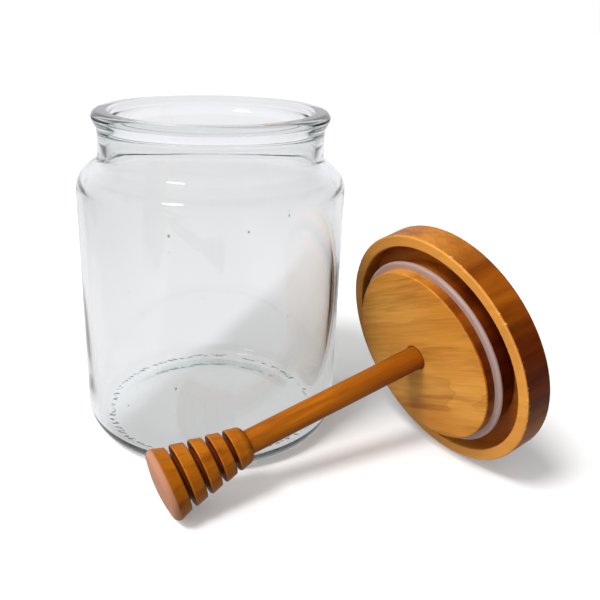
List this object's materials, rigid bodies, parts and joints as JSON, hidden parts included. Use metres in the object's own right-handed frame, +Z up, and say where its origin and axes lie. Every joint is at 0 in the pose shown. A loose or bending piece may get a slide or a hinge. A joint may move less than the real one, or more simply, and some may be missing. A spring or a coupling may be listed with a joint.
{
  "type": "honey jar",
  "caption": "Clear glass honey jar standing open beside its turned wooden lid, which has a soft seal on its plug and a grooved dipper fixed in it.",
  "frame": {"origin": "bottom centre of the bounding box of the jar with its lid and dipper beside it, on the surface they stand on", "axes": "+Z up along the jar's axis; +X towards the lid's side, the longest extent; -Y towards the dipper's free end"},
  "size_m": [0.1614, 0.134, 0.1235],
  "materials": {
    "jar_glass": "clear pressed glass, polished",
    "lid_wood": "turned acacia-like wood, oiled",
    "seal_ring": "translucent silicone",
    "dipper": "turned wood, oiled, dark groove bottoms"
  },
  "bodies": {
    "root": {"jar_glass": "jar_glass", "lid_wood": "lid_wood", "seal_ring": "seal_ring", "dipper": "dipper"}
  },
  "joints": []
}
